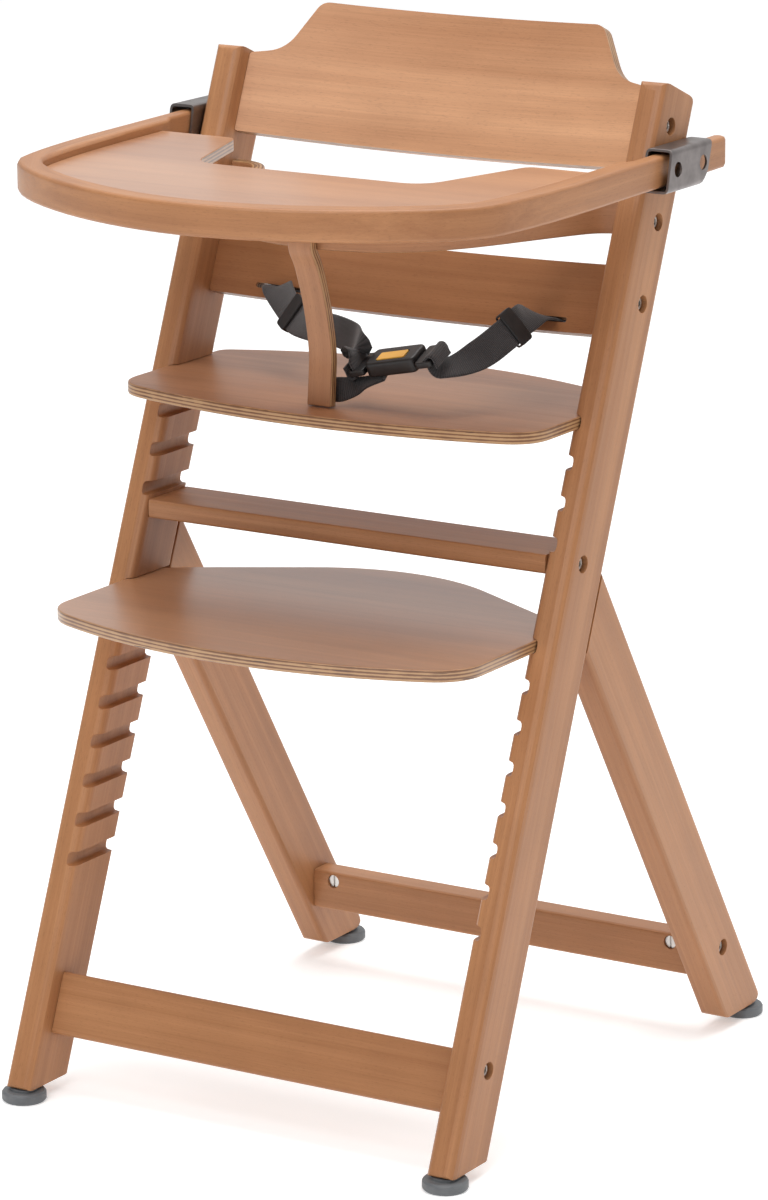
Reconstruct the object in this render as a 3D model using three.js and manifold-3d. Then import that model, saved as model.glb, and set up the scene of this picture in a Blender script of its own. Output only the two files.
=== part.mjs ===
// A wooden high chair: two leaning posts with plate grooves, rear legs, a sliding tray and a lap harness.
// Millimetres, +Z up. The origin is on the floor under the middle of the chair, which faces -Y.
import * as THREE from "three";
import { mergeVertices } from "three/addons/utils/BufferGeometryUtils.js";
import Module from "manifold-3d";

const wasm = await Module();
wasm.setup();

// ---------------------------------------------------------------- driving dimensions
const INNER_X = 168.5; // inner face of a post, from the middle plane
const POST_THICK = 22;
const OUTER_X = INNER_X + POST_THICK;
const SIDE_MID_X = INNER_X + POST_THICK / 2;
const FIT_GAP = 0.3; // between touching pieces

const POST_LEAN = THREE.MathUtils.degToRad(22);
const POST_WIDTH = 48; // across the post, square to its length
const POST_FOOT_Y = -217.7; // where the front edge would meet the floor
const POST_LENGTH = 803;
const LEG_LEAN = THREE.MathUtils.degToRad(33.7);
const LEG_WIDTH = 50;
const LEG_FOOT_Y = 266.2; // where the back edge would meet the floor
const LEG_END_Z = 10; // the posts and legs are cut level at this height
const FRONT_ROUND = 7;
const REAR_ROUND = 3;

const PLATE_THICK = 9;
const PLATE_HALF = 174.5;
const GROOVE_HEIGHT = 10;
const GROOVE_BOTTOM_X = 175.7;
const GROOVE_ROUND = 3.5; // of the corners at the bottom of a groove
const SEAT_Z = 512; // middle of the seat plate
const SEAT_GROOVES = 4;
const FOOTPLATE_Z = 362;
const FOOTPLATE_GROOVES = 8;
const GROOVE_PITCH = 27.3;

const FOOT_RADIUS = 16.5;
const FOOT_Y = 224.8; // from the middle between the front and rear feet
const FEET_MIDDLE_Y = 22;

const TRAY_Z = 694.2; // top of the rim, 130 ahead of the posts' tops
const TRAY_PIVOT_Y = -108;
const TRAY_SAG = THREE.MathUtils.degToRad(0.8); // the front hangs a little low
const RIM_HEIGHT = 23;
const RIM_WIDTH = 18;
const RIM_RECESS = 7; // from the rim's top down to the board
const BOARD_THICK = 9;
const BOARD_TONGUE = { thick: 5, reach: 4 }; // its edge sits in a groove of the rim

const BRACKET = { inner: OUTER_X + FIT_GAP, outer: 212, z0: 670, z1: 701, sheet: 2, bend: 4 };
const ACCESS = { radius: 5.5, z: 686, y: [63, 101] }; // holes that let a screwdriver in
const BRACKET_SCREW_Y = [79, 101];
const SCREW = { radius: 1.8, head: 3.5, length: 14 };

// ---------------------------------------------------------------- looks
const LOOKS = {
  beech: { color: 0xc79a72, roughness: 0.45, metalness: 0 },
  beech_ply: { color: 0xcda07a, roughness: 0.42, metalness: 0 },
  bracket_steel: { color: 0x8f8b88, roughness: 0.4, metalness: 0.9 },
  bolt_steel: { color: 0xb5b3b0, roughness: 0.3, metalness: 1 },
  foot_plastic: { color: 0x5f6265, roughness: 0.6, metalness: 0 },
  black_plastic: { color: 0x1b1919, roughness: 0.45, metalness: 0 },
  button_plastic: { color: 0xe0a23c, roughness: 0.4, metalness: 0 },
  webbing: { color: 0x3f3d40, roughness: 0.85, metalness: 0 },
};
const materials = {};
for (const [name, look] of Object.entries(LOOKS)) {
  materials[name] = new THREE.MeshStandardMaterial({ name, ...look });
}

// ---------------------------------------------------------------- helpers
// A closed three.js geometry as a solid that can be cut.
function solid(geometry) {
  const bare = new THREE.BufferGeometry();
  const source = geometry.index ? geometry.toNonIndexed() : geometry;
  bare.setAttribute("position", source.getAttribute("position").clone());
  const merged = mergeVertices(bare, 1e-4);
  return new wasm.Manifold(
    new wasm.Mesh({
      numProp: 3,
      vertProperties: new Float32Array(merged.attributes.position.array),
      triVerts: new Uint32Array(merged.index.array),
    }),
  );
}

// A cut solid back as a geometry.
function shell(made) {
  const mesh = made.getMesh();
  const geometry = new THREE.BufferGeometry();
  geometry.setAttribute("position", new THREE.BufferAttribute(mesh.vertProperties, 3));
  geometry.setIndex(new THREE.BufferAttribute(mesh.triVerts, 1));
  const flat = geometry.toNonIndexed();
  flat.computeVertexNormals();
  return flat;
}

function cut(body, ...tools) {
  let made = solid(body);
  for (const tool of tools) made = made.subtract(solid(tool));
  return shell(made);
}

function common(a, b) {
  return shell(solid(a).intersect(solid(b)));
}

const basis = (x, y, z, at) =>
  new THREE.Matrix4().makeBasis(x, y, z).setPosition(at);
const vec = (x, y, z) => new THREE.Vector3(x, y, z);

// An outline of [x, y, corner radius] points, with the corners drawn as arcs.
function outline(points) {
  const shape = new THREE.Shape();
  const count = points.length;
  points.forEach(([x, y, r = 0], i) => {
    const here = new THREE.Vector2(x, y);
    const [bx, by] = points[(i + count - 1) % count];
    const [ax, ay] = points[(i + 1) % count];
    const back = new THREE.Vector2(bx, by).sub(here).normalize();
    const ahead = new THREE.Vector2(ax, ay).sub(here).normalize();
    const half = Math.acos(THREE.MathUtils.clamp(back.dot(ahead), -1, 1)) / 2;
    const reach = r / Math.tan(half);
    const start = here.clone().addScaledVector(back, reach);
    const end = here.clone().addScaledVector(ahead, reach);
    if (i === 0) shape.moveTo(start.x, start.y);
    else shape.lineTo(start.x, start.y);
    if (r > 0) shape.quadraticCurveTo(here.x, here.y, end.x, end.y);
  });
  shape.closePath();
  return shape;
}

function extrude(shape, depth, curveSegments = 5) {
  return new THREE.ExtrudeGeometry(shape, { depth, bevelEnabled: false, curveSegments });
}

// A plate with rounded edges top and bottom.
function roundedPlate(shape, depth, r, curveSegments = 8) {
  return new THREE.ExtrudeGeometry(shape, {
    depth: depth - 2 * r,
    bevelThickness: r,
    bevelSize: r,
    bevelOffset: -r,
    bevelSegments: 2,
    curveSegments,
  }).translate(0, 0, r);
}

// A cylinder from start, along direction.
function rod(radius, length, start, direction, sides = 20) {
  const turn = new THREE.Quaternion().setFromUnitVectors(vec(0, 1, 0), direction);
  return new THREE.CylinderGeometry(radius, radius, length, sides)
    .translate(0, length / 2, 0)
    .applyQuaternion(turn)
    .translate(start.x, start.y, start.z);
}

function box(x0, x1, y0, y1, z0, z1) {
  return new THREE.BoxGeometry(x1 - x0, y1 - y0, z1 - z0).translate(
    (x0 + x1) / 2,
    (y0 + y1) / 2,
    (z0 + z1) / 2,
  );
}

const rectangle = (x0, x1, y0, y1, r) =>
  outline([
    [x0, y0, r],
    [x1, y0, r],
    [x1, y1, r],
    [x0, y1, r],
  ]);

// The same body on the other side of the chair.
function mirror(geometry) {
  const flipped = geometry.index ? geometry.toNonIndexed() : geometry.clone();
  flipped.scale(-1, 1, 1);
  const position = flipped.getAttribute("position");
  for (let i = 0; i < position.count; i += 3) {
    const a = new THREE.Vector3().fromBufferAttribute(position, i);
    const b = new THREE.Vector3().fromBufferAttribute(position, i + 1);
    position.setXYZ(i, b.x, b.y, b.z);
    position.setXYZ(i + 1, a.x, a.y, a.z);
  }
  flipped.computeVertexNormals();
  return flipped;
}

// Takes a shape drawn in (y, z) to a place on X, along which it is then drawn out.
const sideways = (x) => basis(vec(0, 1, 0), vec(0, 0, 1), vec(1, 0, 0), vec(x, 0, 0));

const chair = new THREE.Group();
chair.name = "high_chair";

function add(name, geometry, look, parent = chair) {
  const mesh = new THREE.Mesh(geometry, materials[look].clone());
  mesh.name = name;
  parent.add(mesh);
  return mesh;
}

// The same piece on both sides: the right one as given, and the left one mirrored.
function addPair(name, geometry, look, parent = chair) {
  add(`right_${name}`, geometry, look, parent);
  add(`left_${name}`, mirror(geometry), look, parent);
}

// ---------------------------------------------------------------- the posts' own frame
// Depth runs back from a post's front edge and reach runs up along it.
const POST_BACK = vec(0, Math.cos(POST_LEAN), -Math.sin(POST_LEAN));
const POST_UP = vec(0, Math.sin(POST_LEAN), Math.cos(POST_LEAN));
const POST_FRONT = POST_BACK.clone().negate();
const LEG_BACK = vec(0, Math.cos(LEG_LEAN), Math.sin(LEG_LEAN));
const LEG_UP = vec(0, -Math.sin(LEG_LEAN), Math.cos(LEG_LEAN));

function postPoint(x, depth, reach) {
  return vec(x, POST_FOOT_Y, 0)
    .addScaledVector(POST_BACK, depth)
    .addScaledVector(POST_UP, reach);
}

// A shape drawn in (x, depth) and drawn out along the post from one reach to another.
function alongPost(shape, from, to, segments) {
  const geometry = extrude(shape, to - from, segments);
  return geometry.applyMatrix4(basis(vec(1, 0, 0), POST_BACK, POST_UP, postPoint(0, 0, from)));
}

// A shape drawn in (depth, reach) and drawn out along X.
function acrossPost(shape, x0, x1, segments) {
  const geometry = extrude(shape, x1 - x0, segments);
  return geometry.applyMatrix4(basis(POST_BACK, POST_UP, vec(1, 0, 0), postPoint(x0, 0, 0)));
}

// ---------------------------------------------------------------- bolts, nuts and dowels
// Each bolt goes from outside through a post or leg into the end of a rail or panel.
const BOLT = { head: 5, headHeight: 4.5, shank: 3, recess: 6.5, recessDepth: 8, socket: 2.8 };
const HOLE_RADIUS = BOLT.shank + FIT_GAP;
const BOLT_SEAT_X = OUTER_X - BOLT.recessDepth + FIT_GAP;
const NUT = { radius: 5, inset: 18, slot: 1.4, slotDepth: 1.2 };
const DOWEL = { radius: 4, inPost: 10, inRail: 18 };

const JOINTS = {
  backrest: { at: postPoint(0, 20, 775), reach: 22 },
  bow: { at: postPoint(0, 29, 707), reach: 27 },
  slat: { at: postPoint(0, 29.5, 647), reach: 22 },
  middle_rail: { at: vec(0, -31.7, 415.6), reach: 36, nut: [vec(0, 0, 1), 10] },
  front_rail: { at: postPoint(0, 23, 92), reach: 36, nut: [POST_FRONT, 14] },
  rear_rail: { at: vec(0, 193, 69.5), reach: 36, nut: [vec(0, 1, 0), 18] },
};
const DOWELS = {
  middle_rail: vec(0, -9, 415.6),
  front_rail: postPoint(0, 23, 69),
  rear_rail: vec(0, 193, 53.5),
};

const along = (at, x) => vec(x, at.y, at.z);
const OUTWARD = vec(1, 0, 0);

// The holes for a bolt in a post or leg: its shank's and the recess for its head.
function boltHole({ at }) {
  return [
    rod(HOLE_RADIUS, POST_THICK + 2, along(at, INNER_X - 1), OUTWARD, 16),
    rod(BOLT.recess, BOLT.recessDepth + 1, along(at, OUTER_X - BOLT.recessDepth), OUTWARD),
  ];
}

const dowelHole = (at) =>
  rod(DOWEL.radius + FIT_GAP, DOWEL.inPost + 2, along(at, INNER_X - 1), OUTWARD, 16);

// The holes for the bolts, nuts and dowels in both ends of a rail or panel.
function railHoles(name) {
  const { at, reach, nut } = JOINTS[name];
  const shankEnd = BOLT_SEAT_X - reach - 1.5;
  const tools = [rod(HOLE_RADIUS, INNER_X + 1 - shankEnd, along(at, shankEnd), OUTWARD, 16)];
  if (nut) {
    const [axis, length] = nut;
    const blind = along(at, INNER_X - NUT.inset).addScaledVector(axis, -length / 2 - 20);
    tools.push(rod(NUT.radius + FIT_GAP, length + 20 + FIT_GAP, blind, axis));
    const dowelEnd = INNER_X - DOWEL.inRail - 1;
    tools.push(
      rod(DOWEL.radius + FIT_GAP, DOWEL.inRail + 2, along(DOWELS[name], dowelEnd), OUTWARD, 16),
    );
  }
  return [...tools, ...tools.map((tool) => mirror(tool))];
}

function bolt({ at, reach }) {
  const edge = 0.8;
  const profile = [
    [0, 0],
    [BOLT.head, 0],
    [BOLT.head, BOLT.headHeight - edge],
    [BOLT.head - edge, BOLT.headHeight],
    [0, BOLT.headHeight],
  ];
  const head = new THREE.LatheGeometry(profile.map(([x, y]) => new THREE.Vector2(x, y)), 20)
    .rotateZ(-Math.PI / 2)
    .translate(BOLT_SEAT_X, at.y, at.z);
  const shank = rod(BOLT.shank, reach + 1, along(at, BOLT_SEAT_X - reach), OUTWARD, 12);
  const socketDepth = 2.8;
  const socketFloor = BOLT_SEAT_X + BOLT.headHeight - socketDepth;
  const socket = rod(BOLT.socket, socketDepth + 1, along(at, socketFloor), OUTWARD, 6);
  return shell(solid(head).add(solid(shank)).subtract(solid(socket)));
}

function barrelNut({ at, nut: [axis, length] }) {
  const start = along(at, INNER_X - NUT.inset).addScaledVector(axis, -length / 2);
  const barrel = rod(NUT.radius, length, start, axis);
  const threadStart = INNER_X - NUT.inset - NUT.radius - 1;
  const thread = rod(HOLE_RADIUS, 2 * NUT.radius + 2, along(at, threadStart), OUTWARD, 16);
  const slot = new THREE.BoxGeometry(NUT.slot, 2 * NUT.slotDepth, 2 * NUT.radius + 2);
  slot.applyQuaternion(new THREE.Quaternion().setFromUnitVectors(vec(0, 1, 0), axis));
  return cut(barrel, thread, slot.translate(start.x, start.y, start.z));
}

for (const [name, joint] of Object.entries(JOINTS)) {
  addPair(`${name}_bolt`, bolt(joint), "bolt_steel");
  if (joint.nut) addPair(`${name}_nut`, barrelNut(joint), "bolt_steel");
}
for (const [name, at] of Object.entries(DOWELS)) {
  const start = along(at, INNER_X - DOWEL.inRail);
  const dowel = rod(DOWEL.radius, DOWEL.inRail + DOWEL.inPost, start, OUTWARD, 16);
  addPair(`${name}_dowel`, dowel, "beech");
}

// ---------------------------------------------------------------- posts and legs
const grooveHeights = [];
for (let i = 0; i < SEAT_GROOVES; i += 1) grooveHeights.push(SEAT_Z - i * GROOVE_PITCH);
for (let i = 0; i < FOOTPLATE_GROOVES; i += 1) grooveHeights.push(FOOTPLATE_Z - i * GROOVE_PITCH);

const postFront = (z) => POST_FOOT_Y + z * Math.tan(POST_LEAN);
const postBack = (z) => postFront(z) + POST_WIDTH / Math.cos(POST_LEAN);
const legBack = (z) => LEG_FOOT_Y - z * Math.tan(LEG_LEAN);
const legFront = (z) => legBack(z) - LEG_WIDTH / Math.cos(LEG_LEAN);

// A level groove in the inner face, open at the front and the back.
function groove(z) {
  const half = GROOVE_HEIGHT / 2;
  const shape = outline([
    [INNER_X - 4, -half],
    [GROOVE_BOTTOM_X, -half, GROOVE_ROUND],
    [GROOVE_BOTTOM_X, half, GROOVE_ROUND],
    [INNER_X - 4, half],
  ]);
  const length = 90;
  const middle = (postFront(z) + postBack(z)) / 2;
  return extrude(shape, length, 3).rotateX(Math.PI / 2).translate(0, middle + length / 2, z);
}

function post() {
  const section = outline([
    [INNER_X, 0, FRONT_ROUND],
    [OUTER_X, 0, FRONT_ROUND],
    [OUTER_X, POST_WIDTH, REAR_ROUND],
    [INNER_X, POST_WIDTH, REAR_ROUND],
  ]);
  const bar = alongPost(section, -60, POST_LENGTH + 5, 3);
  const rise = LEG_END_Z / Math.cos(POST_LEAN);
  const side = outline([
    [0, rise, 4],
    [POST_WIDTH, rise + POST_WIDTH * Math.tan(POST_LEAN), 5],
    [POST_WIDTH, POST_LENGTH, 9],
    [0, POST_LENGTH, 7],
  ]);
  const tools = grooveHeights.map(groove);
  for (const name of ["backrest", "bow", "slat", "middle_rail", "front_rail"]) {
    tools.push(...boltHole(JOINTS[name]));
  }
  tools.push(dowelHole(DOWELS.middle_rail), dowelHole(DOWELS.front_rail));
  for (const y of BRACKET_SCREW_Y) {
    const start = vec(OUTER_X - SCREW.length, y, ACCESS.z);
    tools.push(rod(SCREW.radius + FIT_GAP, SCREW.length + 1, start, OUTWARD, 12));
  }
  return cut(common(bar, acrossPost(side, INNER_X - 5, OUTER_X + 5)), ...tools);
}

// The rear leg's top end is cut to butt on the back edge of the post.
function rearLeg() {
  const section = outline([
    [-OUTER_X, 0, REAR_ROUND],
    [-INNER_X, 0, REAR_ROUND],
    [-INNER_X, LEG_WIDTH, REAR_ROUND + 1],
    [-OUTER_X, LEG_WIDTH, REAR_ROUND + 1],
  ]);
  const bar = extrude(section, 620, 3)
    .translate(0, 0, -60)
    .applyMatrix4(basis(vec(-1, 0, 0), LEG_BACK.clone().negate(), LEG_UP, vec(0, LEG_FOOT_Y, 0)));
  const closing = Math.tan(LEG_LEAN) + Math.tan(POST_LEAN);
  const backZ = (legBack(0) - postBack(0) - FIT_GAP) / closing;
  const frontZ = (legFront(0) - postBack(0) - FIT_GAP) / closing;
  const side = outline([
    [legFront(LEG_END_Z), LEG_END_Z, 12],
    [legBack(LEG_END_Z), LEG_END_Z, 9],
    [legBack(backZ), backZ],
    [legFront(frontZ), frontZ],
  ]);
  const swept = extrude(side, POST_THICK + 10).applyMatrix4(sideways(INNER_X - 5));
  return cut(common(bar, swept), ...boltHole(JOINTS.rear_rail), dowelHole(DOWELS.rear_rail));
}

addPair("post", post(), "beech");
addPair("rear_leg", rearLeg(), "beech");

// ---------------------------------------------------------------- rails
const RAIL_HALF = INNER_X - FIT_GAP;
const FRONT_RAIL = { depth: 14, thick: 18, from: 57, to: 103 };
const MIDDLE_RAIL = { y0: -47, y1: 6, z0: 408.6, z1: 422.6 };
const REAR_RAIL = { y0: 182, y1: 204, z0: 46, z1: 77 };

function rail(name, shape, transform) {
  const bar = extrude(shape, 2 * RAIL_HALF, 3).translate(0, 0, -RAIL_HALF).applyMatrix4(transform);
  add(name, cut(bar, ...railHoles(name)), "beech");
}

const onPost = basis(POST_BACK, POST_UP, OUTWARD, postPoint(0, 0, 0));
const frontBack = FRONT_RAIL.depth + FRONT_RAIL.thick;
rail("front_rail", rectangle(FRONT_RAIL.depth, frontBack, FRONT_RAIL.from, FRONT_RAIL.to, 2.5), onPost);
for (const [name, r] of Object.entries({ middle_rail: MIDDLE_RAIL, rear_rail: REAR_RAIL })) {
  rail(name, rectangle(r.y0, r.y1, r.z0, r.z1, 2.5), sideways(0));
}

// ---------------------------------------------------------------- bent back panels
// Each panel is bent about the posts' direction: its middle lies further back than its ends.
const PANEL_THICK = 11;
const BACKREST = { depth: 14.5, bend: 15.5, from: 741, shoulder: 801, top: 845.5 };
const SLAT = { depth: 24, bend: 15, from: 620.5, to: 672 };
const BELT_SLOT = { x: 113, reach: 629.5, half: 19, height: 3.8 };

function mirrored(points) {
  return [...points, ...points.map(([x, ...rest]) => [-x, ...rest]).reverse()];
}

// The panel's outline seen from the front, in (x, reach), goes through its bent thickness.
function panel({ depth, bend }, points, holes) {
  const radius = (RAIL_HALF ** 2 + bend ** 2) / (2 * bend);
  const half = Math.asin((RAIL_HALF + 6) / radius);
  const middle = depth + bend - radius;
  const arc = new THREE.Shape();
  arc.absarc(0, middle, radius, Math.PI / 2 - half, Math.PI / 2 + half, false);
  arc.absarc(0, middle, radius + PANEL_THICK, Math.PI / 2 + half, Math.PI / 2 - half, true);
  arc.closePath();
  const face = outline(mirrored(points));
  face.holes.push(...holes);
  const through = extrude(face, 90, 7).applyMatrix4(
    basis(OUTWARD, POST_UP, POST_FRONT, postPoint(0, 75, 0)),
  );
  return common(alongPost(arc, 600, 860, 14), through);
}

const backrest = panel(
  BACKREST,
  [
    [RAIL_HALF, BACKREST.from, 2],
    [RAIL_HALF, BACKREST.shoulder, 3],
    [141, BACKREST.shoulder + 5.5, 30],
    [119, BACKREST.top, 12],
  ],
  [],
);
add("backrest_panel", cut(backrest, ...railHoles("backrest")), "beech_ply");

const slotHoles = [1, -1].map((side) => {
  const { x, reach, half, height } = BELT_SLOT;
  const middle = side * x;
  const low = reach - height / 2;
  return rectangle(middle - half, middle + half, low, low + height, height / 2 - 0.1);
});
const slat = panel(SLAT, [[RAIL_HALF, SLAT.from, 2], [RAIL_HALF, SLAT.to, 2]], slotHoles);
add("back_slat", cut(slat, ...railHoles("slat")), "beech_ply");

// ---------------------------------------------------------------- safety bow and crotch post
const BOW = { z0: 633.8, height: 25.2, thick: 10 };
const CROTCH = { half: 10, thick: 8 };

// A band of the given thickness on the left of a curve.
function band(curve, thick, divisions) {
  const near = curve.getSpacedPoints(divisions);
  const far = near.map((p, i) => {
    const t = curve.getTangentAt(i / divisions);
    return new THREE.Vector2(p.x - t.y * thick, p.y + t.x * thick);
  });
  return new THREE.Shape([...near, ...far.reverse()]);
}

const spline = (points) => new THREE.SplineCurve(points.map(([x, y]) => new THREE.Vector2(x, y)));

const bowHalf = [
  [0, -95],
  [42, -88],
  [72, -70],
  [94, -43],
  [109, -15],
  [121, 12],
  [133, 38],
  [145, 60],
  [157, 68.3],
  [170, 69],
];
const bowCurve = spline([...bowHalf.slice(1).map(([x, y]) => [-x, y]).reverse(), ...bowHalf]);
const bowBand = roundedPlate(band(bowCurve, BOW.thick, 48), BOW.height, 1.5, 1);
const bowEnds = box(-RAIL_HALF, RAIL_HALF, -140, 140, 0, 100);
const screwAt = vec(0, -104, 651);

function flatHeadScrew() {
  const { radius, head, length } = SCREW;
  const profile = [[0, 0], [head, 0], [head, 0.6], [radius, 2.4], [radius, length - 2], [0, length]];
  return new THREE.LatheGeometry(profile.map(([x, y]) => new THREE.Vector2(x, y)), 16);
}

function screwHole() {
  const { radius, head, length } = SCREW;
  const wall = radius + FIT_GAP;
  const rim = head + FIT_GAP;
  const profile = [[0, -2], [rim, -2], [rim, 0.9], [wall, 2.9], [wall, length + 1], [0, length + 1]];
  return new THREE.LatheGeometry(profile.map(([x, y]) => new THREE.Vector2(x, y)), 16);
}

const crotchHole = screwHole().translate(screwAt.x, screwAt.y, screwAt.z);
const bow = common(bowBand.translate(0, 0, BOW.z0), bowEnds.translate(0, 0, BOW.z0 - 20));
add("safety_bow", cut(bow, ...railHoles("bow"), crotchHole), "beech_ply");
add("crotch_post_screw", flatHeadScrew().translate(screwAt.x, screwAt.y + 0.2, screwAt.z), "bolt_steel");

const crotchCurve = spline([
  [-104.5, 668],
  [-104.7, 650],
  [-104, 634],
  [-95, 618],
  [-84.5, 590],
  [-77.5, 558],
  [-78, 536],
  [-79.4, 517.6],
]);
const crotchBand = roundedPlate(band(crotchCurve, CROTCH.thick, 26), 2 * CROTCH.half, 1.5, 1);
add("crotch_post", cut(crotchBand.applyMatrix4(sideways(-CROTCH.half)), crotchHole), "beech_ply");

// ---------------------------------------------------------------- seat and footplate
const SEAT = { front: -105, frontRadius: 540, rear: 106, rearRadius: 370, rearTurn: 90 };
const FOOTPLATE = { front: -211, frontRadius: 390, rear: 55, rearRadius: 140, rearTurn: 30.2 };
const PLATE_CORNER = { front: 24, rear: 8 };

// A plate between two arcs, with straight sides that run in the grooves. The rear arc turns
// by rearTurn degrees at most on either side, and runs straight on from there.
function plate({ front, frontRadius, rear, rearRadius, rearTurn }, z) {
  const frontAt = (x) => front + frontRadius - Math.sqrt(frontRadius ** 2 - x ** 2);
  const rearX = PLATE_HALF - PLATE_CORNER.rear;
  const fullTurn = Math.asin(Math.min(rearX / rearRadius, 1));
  const turn = Math.min(THREE.MathUtils.degToRad(rearTurn), fullTurn);
  const rearAt = (x) => {
    const bentX = rearRadius * Math.sin(turn);
    return rear - rearRadius * (1 - Math.cos(turn)) - (x - bentX) * Math.tan(turn);
  };
  const [frontY, rearY] = [frontAt(PLATE_HALF), rearAt(PLATE_HALF)];
  const frontX = PLATE_HALF - PLATE_CORNER.front;
  const frontTurn = Math.asin(frontX / frontRadius);
  const shape = new THREE.Shape();
  const down = -Math.PI / 2;
  shape.absarc(0, front + frontRadius, frontRadius, down - frontTurn, down + frontTurn, false);
  shape.quadraticCurveTo(PLATE_HALF, frontY, PLATE_HALF, frontY + PLATE_CORNER.front);
  shape.lineTo(PLATE_HALF, rearY - PLATE_CORNER.rear);
  shape.quadraticCurveTo(PLATE_HALF, rearY, rearX, rearAt(rearX));
  shape.absarc(0, rear - rearRadius, rearRadius, -down - turn, -down + turn, false);
  shape.quadraticCurveTo(-PLATE_HALF, rearY, -PLATE_HALF, rearY - PLATE_CORNER.rear);
  shape.lineTo(-PLATE_HALF, frontY + PLATE_CORNER.front);
  shape.quadraticCurveTo(-PLATE_HALF, frontY, -frontX, frontAt(frontX));
  return roundedPlate(shape, PLATE_THICK, 1.2, 10).translate(0, 0, z - PLATE_THICK / 2);
}

add("seat_plate", plate(SEAT, SEAT_Z), "beech_ply");
add("foot_plate", plate(FOOTPLATE, FOOTPLATE_Z), "beech_ply");

// ---------------------------------------------------------------- feet
const footProfile = [
  [0, 0],
  [15, 0],
  [FOOT_RADIUS, 1.6],
  [FOOT_RADIUS, 6.4],
  [15.2, 8],
  [10, 8],
  [10, LEG_END_Z - FIT_GAP],
  [0, LEG_END_Z - FIT_GAP],
];
for (const [name, y] of [["front_foot", FEET_MIDDLE_Y - FOOT_Y], ["rear_foot", FEET_MIDDLE_Y + FOOT_Y]]) {
  const foot = new THREE.LatheGeometry(footProfile.map(([x, h]) => new THREE.Vector2(x, h)), 24);
  addPair(name, foot.rotateX(Math.PI / 2).translate(SIDE_MID_X, y, 0), "foot_plastic");
}

// ---------------------------------------------------------------- tray
// Drawn in the tray's own frame: its origin is on the rim's top, and y is measured from the chair's middle.
const tray = new THREE.Group();
tray.name = "tray";
tray.position.set(0, TRAY_PIVOT_Y, TRAY_Z);
tray.rotation.x = TRAY_SAG;
chair.add(tray);

const ARM = { inner: 193.4, outer: 205.5, end: 152 };
const RIM_TURN_Y = 14; // behind this the rim narrows to the arm
const EAR = { back: 5, x: 123, tip: 11 };
const CUTOUT = { x: 94, y: -93, corner: 26 };

// The outer edge of the tray, from its front middle round to its right arm.
function trayEdge() {
  const edge = new THREE.CurvePath();
  const points = [[0, -263.5], [85, -263.5], [178, -207], [193.5, -170], [204, -135], [205.5, -40]];
  const [a, b, c, d, e, f] = points.map(([x, y]) => new THREE.Vector2(x, y));
  edge.add(new THREE.CubicBezierCurve(a, b, c, d));
  edge.add(new THREE.QuadraticBezierCurve(d, e, f));
  return edge;
}

// Points along the tray's edge, moved inwards.
function insetEdge(distance, divisions = 22) {
  const edge = trayEdge();
  const points = [];
  for (let i = 0; i <= divisions; i += 1) {
    const p = edge.getPointAt(i / divisions);
    const t = edge.getTangentAt(i / divisions);
    points.push([p.x - t.y * distance, p.y + t.x * distance]);
  }
  return points;
}

const inTray = (points) => points.map(([x, y]) => new THREE.Vector2(x, y - TRAY_PIVOT_Y));
const bothSides = (points) => [
  ...points.slice(1).map(([x, y]) => [-x, y]).reverse(),
  ...points,
];

// The board's outline, running back to its ears, at a distance inside the tray's edge.
function boardShape(inset, back) {
  const points = [...insetEdge(inset), [ARM.outer - inset, back]];
  return new THREE.Shape(inTray(bothSides(points)));
}

// A level slice of the board's tongue or of the groove it sits in.
function boardSlice(inset, back, thick) {
  const middle = -RIM_RECESS - BOARD_THICK / 2;
  return extrude(boardShape(inset, back), thick).translate(0, 0, middle - thick / 2);
}

function trayRim() {
  const arm = [
    [ARM.outer, ARM.end - 6],
    [ARM.outer - 1.8, ARM.end - 1.8],
    [ARM.outer - 6, ARM.end],
    [ARM.inner + 3, ARM.end - 0.6],
    [ARM.inner, ARM.end - 4],
    [ARM.inner, RIM_TURN_Y + 12],
    [ARM.outer - RIM_WIDTH, RIM_TURN_Y],
  ];
  const half = [...insetEdge(0), ...arm, ...insetEdge(RIM_WIDTH).reverse()];
  const ring = [...half, ...half.map(([x, y]) => [-x, y]).reverse()];
  const distinct = ring.filter(([x, y], i) => {
    const [px, py] = ring[(i + ring.length - 1) % ring.length];
    return Math.hypot(x - px, y - py) > 0.01;
  });
  const rim = roundedPlate(new THREE.Shape(inTray(distinct)), RIM_HEIGHT, 3, 1);
  const { thick, reach } = BOARD_TONGUE;
  const groove = boardSlice(RIM_WIDTH - reach - FIT_GAP, EAR.back + FIT_GAP, thick + 2 * FIT_GAP);
  return cut(rim.translate(0, 0, -RIM_HEIGHT), groove);
}

function trayBoard() {
  const far = 260;
  const away = outline([
    [-far, EAR.back],
    [-EAR.x, EAR.back, EAR.tip],
    [-CUTOUT.x, CUTOUT.y, CUTOUT.corner],
    [CUTOUT.x, CUTOUT.y, CUTOUT.corner],
    [EAR.x, EAR.back, EAR.tip],
    [far, EAR.back],
    [far, far],
    [-far, far],
  ]);
  const opening = extrude(away, 4 * BOARD_THICK, 8).translate(0, -TRAY_PIVOT_Y, -3 * BOARD_THICK);
  const slab = boardSlice(RIM_WIDTH + FIT_GAP, EAR.back, BOARD_THICK);
  const edge = boardSlice(RIM_WIDTH - BOARD_TONGUE.reach, EAR.back, BOARD_TONGUE.thick);
  return shell(solid(slab).add(solid(edge)).subtract(solid(opening)));
}

add("tray_rim", trayRim(), "beech", tray);
add("tray_board", trayBoard(), "beech_ply", tray);

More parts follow.
